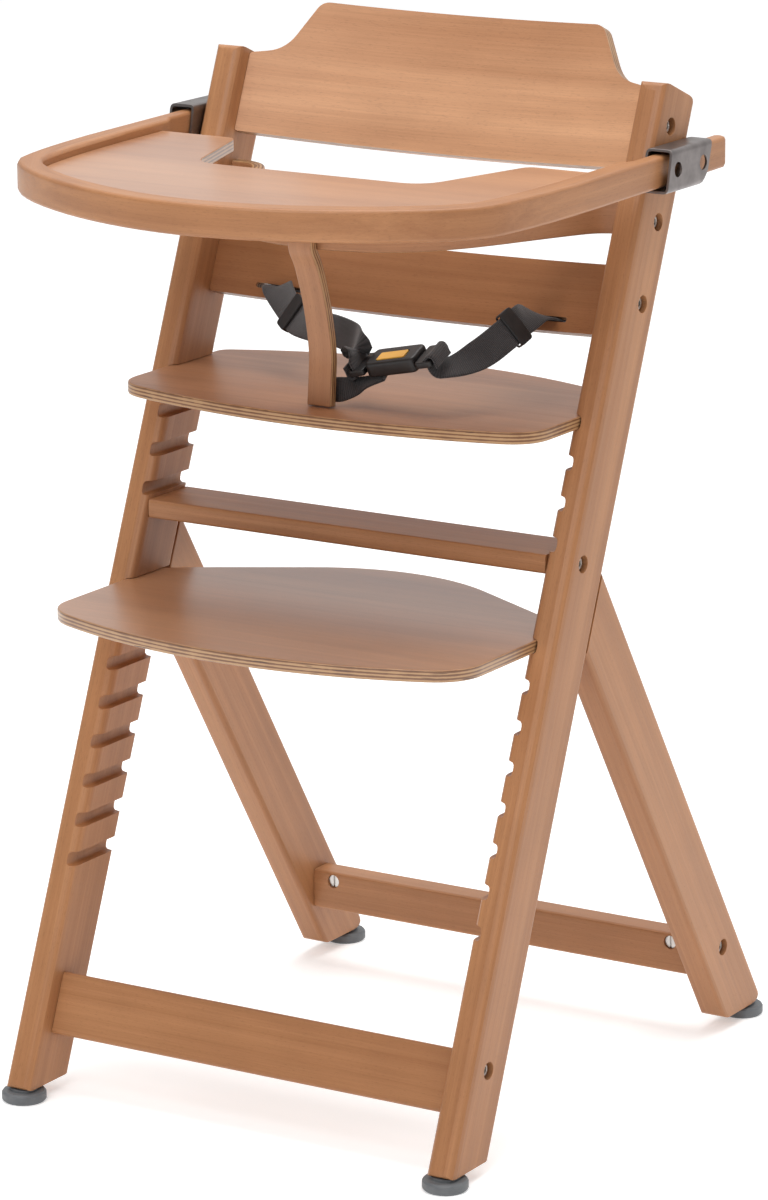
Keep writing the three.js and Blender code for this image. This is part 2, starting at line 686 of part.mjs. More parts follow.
// ---------------------------------------------------------------- tray brackets
// A folded steel channel on the outside of each post, in which the tray's arm slides.
function bracket() {
  const { inner, outer, z0, z1, sheet, bend } = BRACKET;
  const profile = outline([
    [inner, z0 + sheet + 1],
    [inner, z1, bend],
    [outer, z1, bend],
    [outer, z0, bend],
    [inner + 3, z0],
    [inner + 3, z0 + sheet],
    [outer - sheet, z0 + sheet, bend - sheet],
    [outer - sheet, z1 - sheet, bend - sheet],
    [inner + sheet, z1 - sheet, bend - sheet],
    [inner + sheet, z0 + sheet + 1],
  ]);
  const folded = extrude(profile, 120, 3).rotateX(Math.PI / 2).translate(0, 140, 0);
  const side = outline([
    [47, z0 - 1],
    [98, z0 - 1, 2],
    [108, z0 + 9, 4],
    [115, z1 + 1],
    [54, z1 + 1],
  ]);
  const swept = extrude(side, 40).applyMatrix4(sideways(inner - 5));
  const tools = ACCESS.y.map((y) =>
    rod(ACCESS.radius, 10, vec(outer - 6, y, ACCESS.z), OUTWARD, 20),
  );
  for (const y of BRACKET_SCREW_Y) tools.push(screwTurned(screwHole(), y, 0));
  return cut(common(folded, swept), ...tools);
}

function screwTurned(geometry, y, inset) {
  const face = BRACKET.inner + BRACKET.sheet - inset;
  return geometry.clone().rotateZ(Math.PI / 2).translate(face, y, ACCESS.z);
}

addPair("tray_bracket", bracket(), "bracket_steel");
BRACKET_SCREW_Y.forEach((y, i) => {
  addPair(`bracket_screw_${i + 1}`, screwTurned(flatHeadScrew(), y, 0.2), "bolt_steel");
});

// ---------------------------------------------------------------- lap harness
const WEBBING = { width: 23, crotchWidth: 18, thick: 1.8 };
const STOP = { depth: 45.4, thick: 4.6, height: 10, half: 12 }; // the strap's folded end behind the slat
const WEBBING_STEPS = 7; // from one station to the next

// The webbing's middle and its width direction part of the way along its stations.
function webbingAt(stations, share) {
  const [middle, width] = [0, 1].map(
    (k) => new THREE.CatmullRomCurve3(stations.map((s) => vec(...s[k])), false, "catmullrom"),
  );
  const forward = middle.getTangent(share);
  const across = width.getPoint(share);
  across.addScaledVector(forward, -across.dot(forward)).normalize();
  const up = new THREE.Vector3().crossVectors(across, forward);
  return basis(across, forward, up, middle.getPoint(share));
}

// Webbing through stations of [middle, width direction].
function webbing(stations, width = WEBBING.width) {
  const [w, t] = [width / 2, WEBBING.thick / 2];
  const corners = [[-w, -t], [w, -t], [w, t], [-w, t]];
  const steps = (stations.length - 1) * WEBBING_STEPS;
  const positions = [];
  const index = [0, 1, 2, 0, 2, 3];
  for (let i = 0; i <= steps; i += 1) {
    const place = webbingAt(stations, i / steps);
    for (const [x, z] of corners) positions.push(...vec(x, 0, z).applyMatrix4(place).toArray());
    if (i === steps) break;
    for (let k = 0; k < 4; k += 1) {
      const [a, b] = [4 * i + k, 4 * i + ((k + 1) % 4)];
      index.push(a, a + 4, b, b, a + 4, b + 4);
    }
  }
  const last = 4 * steps;
  index.push(last, last + 2, last + 1, last, last + 3, last + 2);
  const geometry = new THREE.BufferGeometry();
  geometry.setAttribute("position", new THREE.Float32BufferAttribute(positions, 3));
  geometry.setIndex(index);
  return geometry.toNonIndexed();
}

// Each strap runs forward through its slot in the slat, through its slider and down to its tongue.
const STRAPS = {
  right: [
    [[113, 61.7, 566], [1, 0, 0]],
    [[113, 46.9, 572], [1, 0, 0]],
    [[112.5, 32, 577.5], [0.9, 0.12, -0.42]],
    [[113.4, 16, 576.2], [0.58, 0.15, -0.8]],
    [[112.4, 4, 572], [0.58, 0.15, -0.8]],
    [[111.4, -8, 567.8], [0.58, 0.15, -0.8]],
    [[105, -27, 558.5], [0.6, -0.1, -0.79]],
    [[94, -41, 551], [0.42, -0.7, -0.57]],
    [[83.5, -49.5, 549.5], [0.12, -0.92, -0.36]],
    [[79.9, -54, 557.4], [0.07, -0.94, -0.33]],
  ],
  left: [
    [[-113, 61.7, 566], [1, 0, 0]],
    [[-113, 46.9, 572], [1, 0, 0]],
    [[-105, 34, 573.5], [0.85, 0.25, 0.45]],
    [[-86, 15.5, 566.5], [0.54, 0.23, 0.8]],
    [[-76, 7.5, 563.1], [0.54, 0.23, 0.8]],
    [[-66, -0.5, 559.7], [0.54, 0.23, 0.8]],
    [[-40, -17, 560.5], [0.2, 0.22, 0.96]],
    [[-16, -29, 562], [0, 0.2, 0.98]],
    [[6, -40, 560], [-0.08, 0.35, 0.93]],
    [[16.8, -55, 557.5], [-0.1, 0.8, 0.6]],
    [[18.3, -56.5, 551.6], [-0.08, 0.93, 0.36]],
    [[20.1, -54, 545.6], [-0.07, 0.94, 0.33]],
  ],
};
const SLIDER_STATION = { right: 4, left: 4 };

// A strap, with its end folded into a stop behind the slat.
function strap(name) {
  const x = name === "right" ? BELT_SLOT.x : -BELT_SLOT.x;
  const { depth, thick, height, half } = STOP;
  const low = BELT_SLOT.reach - height / 2;
  const fold = rectangle(depth, depth + thick, low, low + height, 1.5);
  const stop = acrossPost(fold, x - half, x + half, 3);
  return shell(solid(webbing(STRAPS[name])).add(solid(stop)));
}

// A ladder slider in the straight stretch of a strap.
const SLIDER = { width: 28, length: 14, thick: 6.4, windowAt: 3.3, windowHalf: 1.9, slack: 1 };
function slider(name) {
  const stations = STRAPS[name];
  const place = webbingAt(stations, SLIDER_STATION[name] / (stations.length - 1));
  const { width: w, length, thick, windowAt, windowHalf, slack } = SLIDER;
  const frame = roundedPlate(rectangle(-w / 2, w / 2, -length / 2, length / 2, 3), thick, 0.8, 3);
  const room = [WEBBING.width / 2 + slack, WEBBING.thick / 2 + slack];
  const way = box(-room[0], room[0], -length, length, -room[1], room[1]);
  const windows = [-windowAt, windowAt].map((y) =>
    box(-room[0], room[0], y - windowHalf, y + windowHalf, 0, thick),
  );
  return cut(frame.translate(0, 0, -thick / 2), way, ...windows).applyMatrix4(place);
}

for (const name of Object.keys(STRAPS)) {
  add(`${name}_strap`, strap(name), "webbing");
  add(`${name}_slider`, slider(name), "black_plastic");
}

// The buckle is drawn with its tongues along x and its button on +z, and is then tilted.
const buckle = new THREE.Group();
buckle.name = "buckle";
buckle.position.set(50, -54, 551.5);
buckle.rotation.set(THREE.MathUtils.degToRad(20), THREE.MathUtils.degToRad(-12), 0, "YXZ");
chair.add(buckle);

const BODY = { half: 21, width: 12, height: 12 };
const TONGUE = { blade: 16, bladeHalf: 6, bladeThick: 4, end: 35, plateHalf: 13.5, thick: 5 };
const TONGUE_SLOT = { middle: 30.5, half: 2.2, reach: 12 };
const BUTTON = { half: 11.5, width: 5, at: -2.5, height: 4, proud: 0.7, thick: 2.2 };

function buckleBody() {
  const shape = rectangle(-BODY.half, BODY.half, -BODY.width, BODY.width, 5);
  const body = roundedPlate(shape, BODY.height, 2.5, 4).translate(0, 0, -BODY.height / 2);
  const { blade, bladeHalf, bladeThick } = TONGUE;
  const mouths = [1, -1].map((side) => {
    const deep = BODY.half - blade - FIT_GAP;
    const x = [side * deep, side * (BODY.half + 2)].sort((a, b) => a - b);
    const y = bladeHalf + FIT_GAP;
    const z = bladeThick / 2 + FIT_GAP;
    return box(x[0], x[1], -y, y, -z, z);
  });
  const top = BODY.height / 2;
  const [x, y] = [BUTTON.half + FIT_GAP, BUTTON.width + FIT_GAP];
  const pocket = box(-x, x, BUTTON.at - y, BUTTON.at + y, top - BUTTON.height + 0.5, top + 2);
  return cut(body, ...mouths, pocket);
}

// A blade that plugs into the body, and a plate with a slot for its strap.
function tongue(side) {
  const { blade, bladeHalf, bladeThick, end, plateHalf, thick } = TONGUE;
  const inner = BODY.half - blade;
  const bladeBox = box(inner, BODY.half + 1, -bladeHalf, bladeHalf, -bladeThick / 2, bladeThick / 2);
  const grip = rectangle(BODY.half + 0.6, end, -plateHalf, plateHalf, 2.5);
  const gripPlate = roundedPlate(grip, thick, 1, 3).translate(0, 0, -thick / 2);
  const { middle, half, reach } = TONGUE_SLOT;
  const slot = box(middle - half, middle + half, -reach, reach, -thick, thick);
  const made = shell(solid(bladeBox).add(solid(gripPlate)).subtract(solid(slot)));
  return side > 0 ? made : made.rotateZ(Math.PI);
}

const buttonShape = rectangle(-BUTTON.half, BUTTON.half, -BUTTON.width, BUTTON.width, 1);
const button = roundedPlate(buttonShape, BUTTON.thick, 0.4, 2);
const buttonLow = BODY.height / 2 + BUTTON.proud - BUTTON.thick;

add("buckle_body", buckleBody(), "black_plastic", buckle);
add("buckle_button", button.translate(0, BUTTON.at, buttonLow), "button_plastic", buckle);
add("right_tongue", tongue(1), "black_plastic", buckle);
add("left_tongue", tongue(-1), "black_plastic", buckle);

// The crotch webbing rises from behind the foot of the crotch post and passes under the buckle.
const CROTCH_WEBBING = [
  [[-1, -66.4, 520], [1, 0, 0]],
  [[0, -66, 526.5], [0.98, 0, -0.17]],
  [[13, -65.5, 529], [0.75, -0.15, -0.6]],
  [[26, -58, 533.5], [0.1, -0.9, -0.42]],
  [[42, -54.5, 540.3], [0.07, -0.94, -0.33]],
];
add("crotch_webbing", webbing(CROTCH_WEBBING, WEBBING.crotchWidth), "webbing");

export default chair;
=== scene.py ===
"""The wooden high chair's looks: wood, steel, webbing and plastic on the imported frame."""

import math

import bmesh
import bpy
from mathutils import Matrix, Vector


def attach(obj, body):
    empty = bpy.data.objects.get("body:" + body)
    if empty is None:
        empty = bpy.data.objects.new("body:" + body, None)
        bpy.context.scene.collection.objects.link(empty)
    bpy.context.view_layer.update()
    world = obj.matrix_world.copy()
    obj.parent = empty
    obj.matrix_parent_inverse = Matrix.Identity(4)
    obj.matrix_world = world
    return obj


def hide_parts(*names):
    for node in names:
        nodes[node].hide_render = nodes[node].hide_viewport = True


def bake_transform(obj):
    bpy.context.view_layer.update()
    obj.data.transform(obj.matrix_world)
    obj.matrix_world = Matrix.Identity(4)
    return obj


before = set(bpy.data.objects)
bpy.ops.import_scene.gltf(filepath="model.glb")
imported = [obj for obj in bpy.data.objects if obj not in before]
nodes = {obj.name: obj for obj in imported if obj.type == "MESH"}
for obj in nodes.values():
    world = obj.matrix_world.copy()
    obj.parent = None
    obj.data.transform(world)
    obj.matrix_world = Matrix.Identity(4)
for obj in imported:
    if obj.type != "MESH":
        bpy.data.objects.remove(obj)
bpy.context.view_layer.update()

MM = 0.001
INNER_X = 0.1685
LEAN = math.radians(22)
LEG_LEAN = math.radians(33.7)
BACK = Vector((0, math.cos(LEAN), -math.sin(LEAN)))
UP = Vector((0, math.sin(LEAN), math.cos(LEAN)))
LEG_UP = Vector((0, -math.sin(LEG_LEAN), math.cos(LEG_LEAN)))
LEG_BACK = Vector((0, math.cos(LEG_LEAN), math.sin(LEG_LEAN)))
POST_FOOT = Vector((0, -0.2177, 0))
TRAY_ORIGIN = Vector((0, -0.108, 0.6942))
TRAY_SAG = math.radians(0.8)
SEAT_Z = 0.512
FOOTPLATE_Z = 0.362
PLATE_THICK = 0.009
PANEL_THICK = 0.011
BOW_THICK = 0.010
CROTCH_POST_THICK = 0.008
BOARD_BELOW_RIM = 0.0115
PLY_ROUND = 0.0016
X, Y, Z = Vector((1, 0, 0)), Vector((0, 1, 0)), Vector((0, 0, 1))

# ---------------------------------------------------------------- camera, floor and light
AZIMUTH = math.radians(31.18)
ELEVATION = math.radians(14.13)


def camera():
    data = bpy.data.cameras.new("camera")
    data.sensor_fit = "VERTICAL"
    data.sensor_height = 36
    data.lens = 156.9
    data.shift_x = -0.0004
    data.shift_y = -0.003
    data.clip_end = 60
    made = bpy.data.objects.new("camera", data)
    made.location = (1.9295, -3.1769, 1.2963)
    made.rotation_euler = (math.pi / 2 - ELEVATION, 0, AZIMUTH)
    bpy.context.scene.collection.objects.link(made)
    bpy.context.scene.camera = made


def area_light(name, at, towards, size, power):
    data = bpy.data.lights.new(name, "AREA")
    data.shape = "SQUARE"
    data.size = size
    data.energy = power
    made = bpy.data.objects.new(name, data)
    made.location = at
    aim = Vector(towards) - Vector(at)
    made.rotation_euler = aim.to_track_quat("-Z", "Y").to_euler()
    bpy.context.scene.collection.objects.link(made)


camera()
bpy.context.scene.view_settings.view_transform = "Standard"
area_light("key", (0.2, -3.2, 3.0), (0, 0, 0.4), 2.4, 66)
area_light("top", (0.0, 0.3, 3.4), (0, 0, 0.3), 2.6, 75)


def studio():
    """A pale surround that is brighter overhead and behind."""
    world = bpy.data.worlds.new("world")
    world.use_nodes = True
    tree = world.node_tree
    direction = tree.nodes.new("ShaderNodeTexCoord").outputs["Generated"]
    slope = tree.nodes.new("ShaderNodeVectorMath")
    slope.operation = "DOT_PRODUCT"
    slope.inputs[1].default_value = (0.06, 0.36, 0.44)
    level = tree.nodes.new("ShaderNodeMath")
    level.inputs[1].default_value = 0.40
    tree.links.new(direction, slope.inputs[0])
    tree.links.new(slope.outputs["Value"], level.inputs[0])
    tree.links.new(level.outputs[0], tree.nodes["Background"].inputs["Strength"])
    tree.nodes["Background"].inputs["Color"].default_value = (1, 1, 1, 1)
    bpy.context.scene.world = world


studio()


# ---------------------------------------------------------------- materials
def linear(r, g, b):
    """A colour given in 0 to 255 as shown, in the shader's own scale."""
    return tuple(((c / 255 + 0.055) / 1.055) ** 2.4 for c in (r, g, b)) + (1,)


class Look:
    """A material and the nodes that make it."""

    def __init__(self, name, **sockets):
        self.material = bpy.data.materials.new(name)
        self.material.use_nodes = True
        self.tree = self.material.node_tree
        self.shader = self.tree.nodes["Principled BSDF"]
        for socket, value in sockets.items():
            self.shader.inputs[socket.replace("_", " ")].default_value = value

    def put(self, socket, value):
        if isinstance(value, bpy.types.NodeSocket):
            self.tree.links.new(value, socket)
        else:
            socket.default_value = value

    def node(self, kind, inputs=None, **properties):
        made = self.tree.nodes.new("ShaderNode" + kind)
        for key, value in properties.items():
            setattr(made, key, value)
        for key, value in (inputs or {}).items():
            self.put(made.inputs[key], value)
        return made

    def math(self, operation, a, b=0.0, c=0.0):
        return self.node("Math", {0: a, 1: b, 2: c}, operation=operation).outputs[0]

    def grain(self):
        """The place along, across and through a piece, or along and across webbing, in metres."""
        made = self.node("Attribute", attribute_name=GRAIN, attribute_type="GEOMETRY")
        return made.outputs["Vector"]

    def scaled(self, vector, scale):
        made = self.node("VectorMath", {0: vector, 1: scale}, operation="MULTIPLY")
        return made.outputs[0]

    def noise(self, vector, detail=2.0, roughness=0.5, distortion=0.0):
        inputs = {"Vector": vector, "Scale": 1.0, "Detail": detail}
        inputs.update({"Roughness": roughness, "Distortion": distortion})
        return self.node("TexNoise", inputs).outputs["Fac"]

    def ramp(self, factor, stops):
        made = self.node("ValToRGB", {"Fac": factor})
        elements = made.color_ramp.elements
        while len(elements) < len(stops):
            elements.new(0.5)
        for element, (place, colour) in zip(elements, stops):
            element.position = place
            element.color = colour
        return made.outputs["Color"]

    def mix(self, factor, a, b, blend="MIX"):
        made = self.node("Mix", data_type="RGBA", blend_type=blend)
        for key, value in ((0, factor), (6, a), (7, b)):
            self.put(made.inputs[key], value)
        return made.outputs[2]

    def range(self, value, low, high, to_low=0.0, to_high=1.0):
        inputs = {"Value": value, "From Min": low, "From Max": high}
        inputs.update({"To Min": to_low, "To Max": to_high})
        return self.node("MapRange", inputs).outputs["Result"]

    def bump(self, height, strength, distance):
        made = self.node("Bump", {"Height": height, "Strength": strength, "Distance": distance})
        self.put(self.shader.inputs["Normal"], made.outputs["Normal"])

    def colour(self, value):
        self.put(self.shader.inputs["Base Color"], value)

    def roughness(self, value):
        self.put(self.shader.inputs["Roughness"], value)


GRAIN = "grain"
PLIES = 7
EDGE_GRAIN, END_GRAIN, GLUE_LINE = linear(176, 138, 98), linear(158, 116, 78), linear(112, 74, 48)
# Painted shade: the dark inside of gaps in the plies' edges, drawn as colour instead of cut.
VOID_SHADE = linear(84, 54, 36)


def ply_edge(look, face, place, grain, thickness):
    """The face's colour where the surface is an outer face, and the plies' edges elsewhere, with painted
    shade in gaps of the core.
    """
    through = look.node("SeparateXYZ", {0: place}).outputs[2]
    away = look.math("ABSOLUTE", through)
    layer = look.math("PINGPONG", look.math("MULTIPLY_ADD", through, PLIES / thickness, 0.5), 1.0)
    cut = look.noise(look.scaled(grain, (60, 60, 90)), 3, 0.6)
    layer = look.math("MULTIPLY_ADD", look.math("SUBTRACT", cut, 0.5), 1.1, layer)
    edge = look.ramp(layer, [(0.30, EDGE_GRAIN), (0.52, END_GRAIN), (0.72, GLUE_LINE)])
    # Dark slits along the edge: painted shade inside gaps of the core veneer.
    shaded_voids = look.noise(look.scaled(grain, (45, 45, 700)), 1, 0.3)
    edge = look.mix(look.range(shaded_voids, 0.70, 0.74), edge, VOID_SHADE)
    inside = look.range(away, thickness * 0.44, thickness * 0.485, 1.0, 0.0)
    return look.mix(inside, face, edge)


def wood(name, light, dark, thickness=0.0, figure=0.5, shift=0.0, coat=0.15):
    """Lacquered beech. The grain attribute runs along, across and through the piece in metres.
    A thickness makes plywood, whose layers show wherever the surface leaves the outer faces."""
    look = Look(name, Coat_Weight=coat, Coat_Roughness=0.3, Specular_IOR_Level=0.3)
    place = look.grain()
    grain = look.node("VectorMath", {0: place, 1: (shift, shift * 0.7, shift * 0.4)}).outputs[0]
    broad = look.noise(look.scaled(grain, (2.2, 17, 17)), 3, 0.55, 0.4)
    bands = look.noise(look.scaled(grain, (1.2, 90, 90)), 3, 0.6, 0.8)
    fibres = look.noise(look.scaled(grain, (14, 900, 900)), 2, 0.6)
    fleck = look.noise(look.scaled(grain, (260, 1900, 1900)), 1, 0.4)
    mottle = look.noise(look.scaled(grain, (24, 30, 30)), 2, 0.5)
    tone = look.math("MULTIPLY_ADD", bands, figure, look.math("MULTIPLY", broad, 1 - figure))
    between = tuple((a + b) / 2 for a, b in zip(light, dark))
    colour = look.ramp(tone, [(0.32, dark), (0.50, between), (0.66, light)])
    streak = look.range(fibres, 0.3, 0.7, 0.93, 1.04)
    shade = look.math("MULTIPLY", streak, look.range(fleck, 0.62, 0.70, 1.0, 0.86))
    shade = look.math("MULTIPLY", shade, look.range(mottle, 0.3, 0.7, 0.965, 1.03))
    grey = look.node("CombineXYZ", {0: shade, 1: shade, 2: shade}).outputs[0]
    colour = look.mix(1.0, colour, grey, "MULTIPLY")
    if thickness:
        colour = ply_edge(look, colour, place, grain, thickness)
    look.colour(colour)
    look.roughness(look.range(fibres, 0.2, 0.8, 0.38, 0.50))
    look.bump(look.math("ADD", fibres, look.math("MULTIPLY", fleck, 0.4)), 0.12, 0.0004)
    return look.material


def plated_steel(name, colour, rough, grime=0.3):
    look = Look(name, Metallic=1.0)
    place = look.node("TexCoord").outputs["Object"]
    cloud = look.noise(look.scaled(place, (60, 60, 60)), 3, 0.6)
    fine = look.noise(look.scaled(place, (900, 900, 900)), 2, 0.5)
    dull = tuple(c * (1 - grime) for c in colour[:3]) + (1,)
    look.colour(look.ramp(cloud, [(0.3, dull), (0.7, colour)]))
    look.roughness(look.range(cloud, 0.2, 0.8, rough + 0.1, rough - 0.05))
    look.bump(fine, 0.08, 0.0002)
    return look.material


def moulded(name, colour, worn, rough):
    look = Look(name, Specular_IOR_Level=0.45)
    place = look.node("TexCoord").outputs["Object"]
    fine = look.noise(look.scaled(place, (2200, 2200, 2200)), 2, 0.6)
    cloud = look.noise(look.scaled(place, (90, 90, 90)), 3, 0.6)
    look.colour(look.ramp(cloud, [(0.35, colour), (0.75, worn)]))
    look.roughness(look.range(cloud, 0.2, 0.8, rough - 0.06, rough + 0.06))
    look.bump(fine, 0.15, 0.0002)
    return look.material


COLUMN_PITCH = 0.0022
RIB_PITCH = 0.0013


def webbing_look(name, light, dark):
    """Woven webbing: crosswise ribs in lengthwise columns, with painted shade in the grooves between them.
    """
    look = Look(name, Sheen_Weight=0.25, Sheen_Roughness=0.5, Specular_IOR_Level=0.3)
    weave = look.grain()
    parts = look.node("SeparateXYZ", {0: weave})
    along, across = parts.outputs[0], parts.outputs[1]
    column = look.math("SINE", look.math("MULTIPLY", across, math.tau / COLUMN_PITCH))
    slant = look.math("MULTIPLY", look.math("SIGN", column), 0.25)
    rib = look.math("SINE", look.math("MULTIPLY_ADD", along, math.tau / RIB_PITCH, slant))
    height = look.math("MULTIPLY_ADD", look.math("ABSOLUTE", column), 0.5, look.math("MULTIPLY", rib, 0.35))
    fuzz = look.noise(look.scaled(weave, (1500, 1500, 1500)), 2, 0.6)
    wear = look.noise(look.scaled(weave, (60, 60, 60)), 2, 0.5)
    # The colour follows the weave's height, so the grooves are darker as painted shade; the fuzz and wear
    # noise are the webbing's own tone.
    tone = look.math("MULTIPLY_ADD", look.math("SUBTRACT", fuzz, 0.5), 0.5, look.range(height, -0.35, 0.85))
    tone = look.math("MULTIPLY_ADD", look.math("SUBTRACT", wear, 0.5), 0.6, tone)
    look.colour(look.ramp(tone, [(0.1, dark), (0.85, light)]))
    look.roughness(look.range(fuzz, 0.3, 0.7, 0.72, 0.9))
    look.bump(height, 0.5, 0.0004)
    return look.material


BEECH_LIGHT, BEECH_DARK = linear(178, 126, 85), linear(148, 98, 62)
PLY_LIGHT, PLY_DARK = linear(186, 135, 96), linear(154, 104, 70)
LOOKS = {
    "beech": wood("beech", BEECH_LIGHT, BEECH_DARK, figure=0.55),
    # The seat's plywood is darker than the rest of the plywood: painted shade of the tray above it.
    "seat_ply_painted_shade": wood("seat_ply_painted_shade", linear(172, 122, 86), linear(142, 94, 62), PLATE_THICK, 0.35, 3.1, 0.25),
    "foot_ply": wood("foot_ply", PLY_LIGHT, PLY_DARK, PLATE_THICK, 0.35, 6.4, 0.9),
    # The slat's plywood is darker than the rest of the plywood: painted shadow of the bow and tray above
    # it.
    "slat_ply_painted_shade": wood("slat_ply_painted_shade", linear(170, 116, 76), linear(142, 92, 56), PANEL_THICK, 0.3, 4.9),
    "tray_ply": wood("tray_ply", PLY_LIGHT, PLY_DARK, PLATE_THICK, 0.35, 1.7, 1.0),
    # The backrest's plywood is lighter than the rest of the plywood: painted light from overhead, which its
    # backward lean faces.
    "back_ply_painted_light": wood("back_ply_painted_light", linear(208, 158, 120), linear(176, 126, 90), PANEL_THICK, 0.3, 7.7),
    "beech_ply_10": wood("beech_ply_10", PLY_LIGHT, PLY_DARK, BOW_THICK, 0.5, 5.3),
    "beech_ply_8": wood("beech_ply_8", PLY_LIGHT, PLY_DARK, CROTCH_POST_THICK, 0.5, 9.3),
    "bracket_steel": plated_steel("bracket_steel", linear(138, 131, 129), 0.36),
    "bolt_steel": plated_steel("bolt_steel", linear(215, 212, 208), 0.28, 0.2),
    "foot_plastic": moulded("foot_plastic", linear(92, 95, 98), linear(108, 110, 112), 0.5),
    "black_plastic": moulded("black_plastic", linear(26, 23, 23), linear(36, 33, 33), 0.42),
    "button_plastic": moulded("button_plastic", linear(222, 168, 72), linear(228, 178, 84), 0.42),
    "webbing": webbing_look("webbing", linear(64, 61, 62), linear(30, 28, 30)),
}


def floor_look():
    look = Look("floor", Roughness=0.7)
    place = look.node("TexCoord").outputs["Object"]
    cloud = look.noise(look.scaled(place, (3, 3, 3)), 2, 0.5)
    look.colour(look.ramp(cloud, [(0.3, (0.86, 0.86, 0.86, 1)), (0.7, (0.89, 0.89, 0.89, 1))]))
    look.shader.inputs["Emission Color"].default_value = (1, 1, 1, 1)
    look.shader.inputs["Emission Strength"].default_value = 0.35
    return look.material


def floor():
    mesh = bpy.data.meshes.new("floor")
    half = 16
    corners = [(-half, -half, 0), (half, -half, 0), (half, half, 0), (-half, half, 0)]
    mesh.from_pydata(corners, [], [(0, 1, 2, 3)])
    made = bpy.data.objects.new("floor", mesh)
    mesh.materials.append(floor_look())
    bpy.context.scene.collection.objects.link(made)


floor()


# ---------------------------------------------------------------- mesh helpers
def new_object(name, mesh, look):
    made = bpy.data.objects.new(name, mesh)
    bpy.context.scene.collection.objects.link(made)
    mesh.materials.clear()
    mesh.materials.append(LOOKS[look])
    return made


def smooth(mesh, degrees):
    mesh.polygons.foreach_set("use_smooth", [True] * len(mesh.polygons))
    mesh.set_sharp_from_angle(angle=math.radians(degrees))


def soften(obj, width, degrees):
    """Rounds the piece's sharp edges and keeps its flat faces flat in the light."""
    bevel = obj.modifiers.new("bevel", "BEVEL")
    bevel.width = width
    bevel.segments = 2
    bevel.limit_method = "ANGLE"
    bevel.angle_limit = math.radians(degrees)
    bevel.miter_outer = "MITER_ARC"
    weigh(obj)


def weigh(obj):
    normals = obj.modifiers.new("normals", "WEIGHTED_NORMAL")
    normals.keep_sharp = True
    normals.weight = 60


def set_grain(mesh, grain_at):
    layer = mesh.attributes.get(GRAIN) or mesh.attributes.new(GRAIN, "FLOAT_VECTOR", "POINT")
    values = []
    for vertex in mesh.vertices:
        values.extend(grain_at(vertex.co))
    layer.data.foreach_set("vector", values)


def straight(along, across, through):
    """Grain in straight lines."""
    return lambda co: tuple(co.dot(axis) for axis in (along, across, through))


def cad_copy(node):
    """A CAD node's shape with its flat faces whole again, ready to be finished."""
    mesh = bpy.data.meshes.new(node + "_fine")
    shape = bmesh.new()
    shape.from_mesh(nodes[node].data)
    bmesh.ops.remove_doubles(shape, verts=shape.verts, dist=2e-6)
    flat = {"angle_limit": math.radians(0.6), "use_dissolve_boundaries": False}
    bmesh.ops.dissolve_limit(shape, verts=shape.verts, edges=shape.edges, **flat)
    shape.to_mesh(mesh)
    shape.free()
    return mesh


def finish_piece(name, node, mesh, body, look, slot, grain=None, edge=0.0006, degrees=35):
    if grain:
        set_grain(mesh, grain)
    smooth(mesh, degrees)
    made = new_object(name, mesh, look)
    if edge:
        soften(made, edge, degrees)
    else:
        weigh(made)
    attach(made, body)
    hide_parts(node)
    return made


def from_cad(node, body, look, slot, grain=None, edge=0.0006, degrees=35):
    return finish_piece(node + "_fine", node, cad_copy(node), body, look, slot, grain, edge, degrees)


SIDES = ("left", "right")

# ---------------------------------------------------------------- posts, legs and rails
for side in SIDES:
    from_cad(f"{side}_post", "frame", "beech", "beech", straight(UP, X, BACK))
    from_cad(f"{side}_rear_leg", "frame", "beech", "beech", straight(LEG_UP, X, LEG_BACK))
    for end in ("front", "rear"):
        from_cad(f"{side}_{end}_foot", "frame", "foot_plastic", "foot_plastic", edge=0)
for name, across, through in (
    ("front_rail", UP, BACK),
    ("middle_rail", Y, Z),
    ("rear_rail", Z, Y),
):
    from_cad(name, "frame", "beech", "beech", straight(X, across, through))


# ---------------------------------------------------------------- bent panels, plates and tray
def bent(depth, bend):
    """Across a panel bent about the posts' direction, measured from the middle of its thickness.
    Its ends' front face is at depth behind the posts' front, and its middle is further back by bend."""

    def grain(co):
        local = co - POST_FOOT
        middle = depth + bend * (1 - (co.x / INNER_X) ** 2) + PANEL_THICK / 2
        return co.x, local.dot(UP), local.dot(BACK) - middle

    return grain


def level(middle):
    """Across a level plate, measured from the middle of its thickness."""
    return lambda co: (co.x, co.y, co.z - middle)


from_cad("backrest_panel", "frame", "back_ply_painted_light", "beech_ply", bent(0.0145, 0.0155), 0.0012)
from_cad("back_slat", "frame", "slat_ply_painted_shade", "beech_ply", bent(0.024, 0.015), 0.0012)
from_cad("seat_plate", "seat", "seat_ply_painted_shade", "beech_ply", level(SEAT_Z), 0)
from_cad("foot_plate", "footplate", "foot_ply", "beech_ply", level(FOOTPLATE_Z), 0)


def tray_point(co):
    """A point in the tray's own level frame."""
    local = co - TRAY_ORIGIN
    c, s = math.cos(TRAY_SAG), math.sin(TRAY_SAG)
    return Vector((local.x, local.y * c + local.z * s, local.z * c - local.y * s))


RIM_TURN_Y = 0.04
RIM_RADIUS = 0.2


def round_the_rim(co):
    """Grain that follows the rim round its front and then straight back along its arms."""
    local = tray_point(co)
    ahead = min(local.y - RIM_TURN_Y, 0)
    reach = math.hypot(local.x, ahead)
    turn = math.atan2(abs(local.x), -ahead) if reach > 1e-9 else 0
    along = turn * RIM_RADIUS + max(local.y - RIM_TURN_Y, 0)
    return math.copysign(along, local.x), reach, local.z


def tray_board_grain(co):
    local = tray_point(co)
    return local.x, local.y, local.z + BOARD_BELOW_RIM


